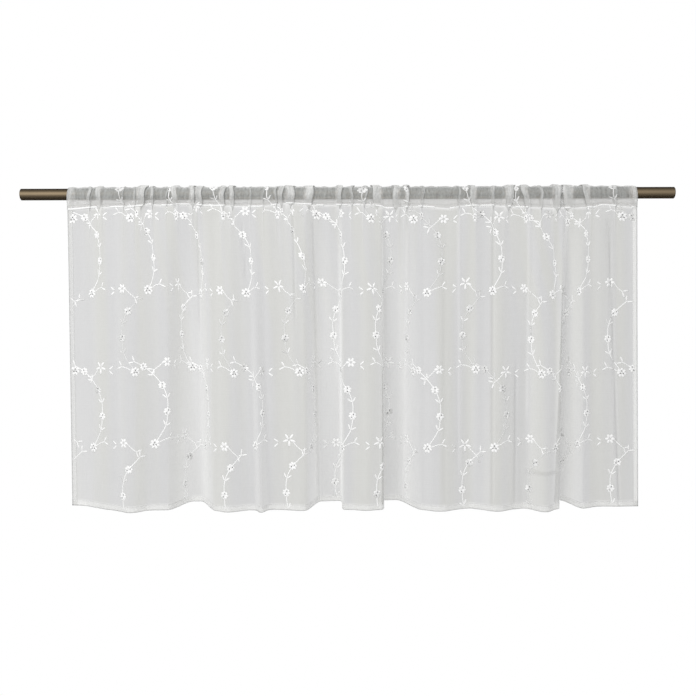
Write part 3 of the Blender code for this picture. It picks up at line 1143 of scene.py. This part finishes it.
def voile():
    """Sheer plain weave that follows the flat cloth."""
    finish, tree, shader = new_material(
        "voile",
        Roughness=0.85,
        Specular_IOR_Level=0.15,
        Sheen_Weight=0.8,
        Sheen_Roughness=0.5,
    )
    uv = tree.nodes.new("ShaderNodeUVMap")
    uv.uv_map = "flat_cloth"
    place = Value(tree, uv.outputs["UV"])
    split = place.node("ShaderNodeSeparateXYZ", Vector=place)
    across, along = (Value(tree, split.outputs[axis]) for axis in (0, 1))

    def stretched_noise(x_size, y_size, detail):
        vector = place.node("ShaderNodeCombineXYZ", X=across * (1.0 / x_size), Y=along * (1.0 / y_size))
        noise = place.node(
            "ShaderNodeTexNoise",
            Vector=Value(tree, vector.outputs[0]),
            Scale=1.0,
            Detail=detail,
        )
        return Value(tree, noise.outputs["Fac"])

    warp = (across * (2.0 * math.pi / THREAD_PITCH)).maths("SINE")
    weft = (along * (2.0 * math.pi / THREAD_PITCH)).maths("SINE")
    threads = warp + weft
    slubs = stretched_noise(1.3 * MM, 60 * MM, 2.0) + stretched_noise(45 * MM, 1.2 * MM, 2.0)
    pocket = read_number(tree, "pocket")
    coordinates = tree.nodes.new("ShaderNodeTexCoord")
    spot = place.node("ShaderNodeSeparateXYZ", Vector=Value(tree, coordinates.outputs["Object"]))
    height = Value(tree, spot.outputs[2])
    inside = (ROD_RADIUS + ROD_SHADE_EDGE - height.maths("ABSOLUTE")) * (1.0 / ROD_SHADE_EDGE)
    on_rod = pocket * inside.maths("MINIMUM", 1.0).maths("MAXIMUM", 0.0)
    # Painted light: the pocket below the rod, off the rod itself, is painted whiter
    under_rod = pocket * height.maths("LESS_THAN", 0.0) * (1.0 - on_rod)
    doubled_painted_light = read_number(tree, "doubled_painted_light").maths("MAXIMUM", under_rod * UNDER_ROD_PAINTED_LIGHT)
    # Painted light on the gathers, broken up by noise
    gathered_painted_light = read_number(tree, "gathered_painted_light") * (stretched_noise(5 * MM, 30 * MM, 1.0) * 1.6)
    uneven = stretched_noise(2.0 * MM, 4.5 * MM, 2.0) - 0.5
    streaks = stretched_noise(3.4 * MM, 25 * MM, 1.0) - 0.5
    # Painted light: doubled cloth gets less cover, so more white shows through and it looks lighter
    cover = SKIRT_COVER - on_rod * (SKIRT_COVER - POCKET_COVER) - doubled_painted_light * DOUBLED_OPENS
    # Painted shade and light of the creases lies in the cover
    cover = cover - read_number(tree, "crease_painted_shading") * CREASE_PAINTED_SHADING - read_number(tree, "walls") * WALL_OPENS
    cover = cover + threads * THREAD_DEPTH + (slubs - 1.0) * SLUB_DEPTH + uneven * on_rod * GRAIN_DEPTH
    cover = cover + streaks * on_rod * STREAKS_ON_ROD
    plug(tree, shader.inputs["Alpha"], cover)
    # Painted light: fold walls that turn away from the front are painted whiter, and steep walls get less
    # cover above so they look lighter
    turned_away = read_number(tree, "turned_away")
    # Painted light from the doubled hems, the seam, the band under the rod, the gathers, the fold walls and
    # the back folds
    painted_light = doubled_painted_light.maths("MAXIMUM", gathered_painted_light).maths("MAXIMUM", turned_away * WALL_PAINTED_LIGHT)
    # Painted light in back folds and in front of tucked sides
    painted_light = painted_light + read_number(tree, "back_painted_light")
    tint = (stretched_noise(34 * MM, 900 * MM, 1.0) - 0.42) * 6.0
    tinted = mix_colours(place, COOL_COLOUR, WARM_COLOUR, tint)
    shaded = mix_colours(place, tinted, ROD_SHADED_COLOUR, on_rod)
    plug(tree, shader.inputs["Base Color"], mix_colours(place, shaded, PAINTED_LIGHT_COLOUR, painted_light))
    bump_node = place.node(
        "ShaderNodeBump",
        Strength=0.25,
        Distance=0.0002,
        Height=threads * 0.25 + slubs,
    )
    plug(tree, shader.inputs["Normal"], Value(tree, bump_node.outputs[0]))
    return finish


curtain.data.materials.append(voile())

# %% [markdown]
# ## Thread
# The garlands are stitched in a glossy white thread. Its shine comes from a
# low roughness, and the ridges of single threads run across each pad. A few
# motifs catch less light and look silvery, which is a number stored with each
# stitch.

# %% Thread material
BRIGHT_THREAD = (0.98, 0.98, 0.975, 1.0)
DULL_THREAD = (0.62, 0.62, 0.61, 1.0)
EYE_COLOUR = (0.14, 0.14, 0.14, 1.0)
# Painted glow: a weak white emission stands in for light shining through the thread
PAINTED_GLOW = 0.08


def thread(name, ridge_pitch):
    """Glossy white embroidery thread."""
    finish, tree, shader = new_material(
        name,
        Roughness=0.38,
        Specular_IOR_Level=0.6,
        Sheen_Weight=0.2,
        Emission_Color=(1.0, 1.0, 1.0, 1.0),
        Emission_Strength=PAINTED_GLOW,
    )
    along = read_number(tree, "along")
    tone = read_number(tree, "tone")
    thread_colour = mix_colours(along, DULL_THREAD, BRIGHT_THREAD, tone)
    plug(tree, shader.inputs["Base Color"], mix_colours(along, thread_colour, EYE_COLOUR, tone * -1.0))
    ridges = (along * (2.0 * math.pi / ridge_pitch)).maths("SINE")
    bump_node = along.node("ShaderNodeBump", Strength=0.35, Distance=0.0002, Height=ridges)
    plug(tree, shader.inputs["Normal"], Value(tree, bump_node.outputs[0]))
    return finish


garland_flowers.data.materials.append(thread("satin_thread", 0.5 * MM))
garland_stems.data.materials.append(thread("stem_thread", 0.9 * MM))
sewing.data.materials.append(thread("sewing_thread", 0.7 * MM))

# %% [markdown]
# ## Bronze brown metal
# The rod is a satin brown metal. Fine lines from drawing run along it, and
# faint patches are a little duller where hands have slid the cloth.

# %% Rod material
ROD_DARK = (0.32, 0.245, 0.155, 1.0)
ROD_LIGHT = (0.45, 0.35, 0.225, 1.0)


def bronze():
    """Satin brown metal with fine lines along the rod."""
    finish, tree, shader = new_material("bronze_brown", Metallic=0.92)
    coordinates = tree.nodes.new("ShaderNodeTexCoord")
    place = Value(tree, coordinates.outputs["Object"])

    def lines(scale, size, detail):
        mapping = place.node("ShaderNodeMapping", Vector=place, Scale=scale)
        noise = place.node(
            "ShaderNodeTexNoise",
            Vector=Value(tree, mapping.outputs[0]),
            Scale=size,
            Detail=detail,
        )
        return Value(tree, noise.outputs["Fac"])

    drawn = lines((0.01, 1.0, 1.0), 900.0, 3.0)
    worn = lines((1.0, 1.0, 1.0), 9.0, 3.0)
    plug(tree, shader.inputs["Base Color"], mix_colours(place, ROD_DARK, ROD_LIGHT, drawn * 0.6 + worn * 0.4))
    plug(tree, shader.inputs["Roughness"], 0.13 + worn * 0.08 + drawn * 0.06)
    bump_node = place.node("ShaderNodeBump", Strength=0.12, Distance=0.0002, Height=drawn)
    plug(tree, shader.inputs["Normal"], Value(tree, bump_node.outputs[0]))
    return finish


curtain_rod.data.materials.append(bronze())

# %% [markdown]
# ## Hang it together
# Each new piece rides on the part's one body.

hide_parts("curtain_panel")
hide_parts("rod")
for piece, slot in (
    (curtain, "sheer_cloth"),
    (garland_flowers, "sheer_cloth"),
    (garland_stems, "sheer_cloth"),
    (sewing, "sheer_cloth"),
    (curtain_rod, "rod_metal"),
):
    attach(piece, "root")

# %% [markdown]
# ## Studio
# The background is white. The camera sees the world at full white, while the
# light that the world gives is softer. The rod mirrors a soft box in front of
# it and little else, so its top and its underside stay dark. A large soft
# light stands in front at the upper left.

# %% World
ROOM_LIGHT = 0.60
ROOM_LIGHT_FROM_ABOVE = 0.10
ROOM_LIGHT_FROM_RIGHT = 0.08
SOFT_BOX_RISE = math.radians(12)
SOFT_BOX_EDGE = 0.6


def studio_world():
    """White behind the object, and a soft sky for its light."""
    world = bpy.data.worlds.new("studio")
    bpy.context.scene.world = world
    world.use_nodes = True
    tree = world.node_tree
    background = tree.nodes["Background"]
    path = tree.nodes.new("ShaderNodeLightPath")
    seen = Value(tree, path.outputs["Is Camera Ray"])
    mirrored = Value(tree, path.outputs["Is Glossy Ray"])
    coordinates = tree.nodes.new("ShaderNodeTexCoord")
    split = seen.node("ShaderNodeSeparateXYZ", Vector=Value(tree, coordinates.outputs["Generated"]))
    right, back, up = (Value(tree, split.outputs[axis]) for axis in range(3))
    toward = back * -math.cos(SOFT_BOX_RISE) + up * math.sin(SOFT_BOX_RISE)
    box = ((toward - SOFT_BOX_EDGE) * (1.0 / (1.0 - SOFT_BOX_EDGE))).maths("MAXIMUM", 0.0)
    front = toward.maths("MAXIMUM", 0.0)
    mirror_light = 0.02 + front * 0.32 + box * box * (0.60 - right * 0.9)
    soft_light = ROOM_LIGHT + up * ROOM_LIGHT_FROM_ABOVE + right * ROOM_LIGHT_FROM_RIGHT
    light = soft_light + mirrored * (mirror_light - soft_light)
    strength = light + seen * (1.0 - light)
    plug(tree, background.inputs["Color"], (1.0, 1.0, 1.0, 1.0))
    plug(tree, background.inputs["Strength"], strength)


def area_light(name, place, aim, size, power):
    """A square soft light that looks at a point."""
    data = bpy.data.lights.new(name, "AREA")
    data.size = size
    data.energy = power
    lamp = bpy.data.objects.new(name, data)
    bpy.context.scene.collection.objects.link(lamp)
    lamp.location = place
    direction = np.array(aim) - np.array(place)
    yaw = math.atan2(direction[0], -direction[1])
    pitch = math.atan2(math.hypot(direction[0], direction[1]), -direction[2])
    lamp.rotation_euler = (pitch, 0.0, yaw + math.pi)
    lamp.visible_glossy = False
    return lamp


studio_world()
area_light("key", (-0.66, -1.27, 0.46), (-0.02, 0.0, -0.2), 1.55, 16.0)

# %% Floor
FLOOR_DROP = 1.05


def studio_floor():
    """A pale floor well below the hem."""
    bm = bmesh.new()
    bmesh.ops.create_circle(bm, cap_ends=True, segments=64, radius=0.5)
    bmesh.ops.translate(bm, verts=bm.verts, vec=(0.0, 0.0, -FLOOR_DROP))
    floor = make_piece("floor", bm)
    finish, _, shader = new_material("pale_floor", Roughness=0.9)
    shader.inputs["Base Color"].default_value = (0.9, 0.9, 0.9, 1.0)
    floor.data.materials.append(finish)
    return floor


studio_floor()

# %% Camera
CAMERA_DISTANCE = 1.30
CAMERA_DROP = 0.2142
METRES_A_PIXEL = 1.388 * MM
PHOTO_SIDE = 696
SENSOR = 36.0

camera_data = bpy.data.cameras.new("camera")
camera_data.sensor_width = SENSOR
camera_data.lens = SENSOR * CAMERA_DISTANCE / (PHOTO_SIDE * METRES_A_PIXEL)
camera = bpy.data.objects.new("camera", camera_data)
bpy.context.scene.collection.objects.link(camera)
camera.location = (0.0, -CAMERA_DISTANCE, -CAMERA_DROP)
camera.rotation_euler = (math.radians(90.0), math.radians(0.17), 0.0)
bpy.context.scene.camera = camera
bpy.context.scene.view_settings.view_transform = "Standard"
print("lens", round(camera_data.lens, 1), "mm")
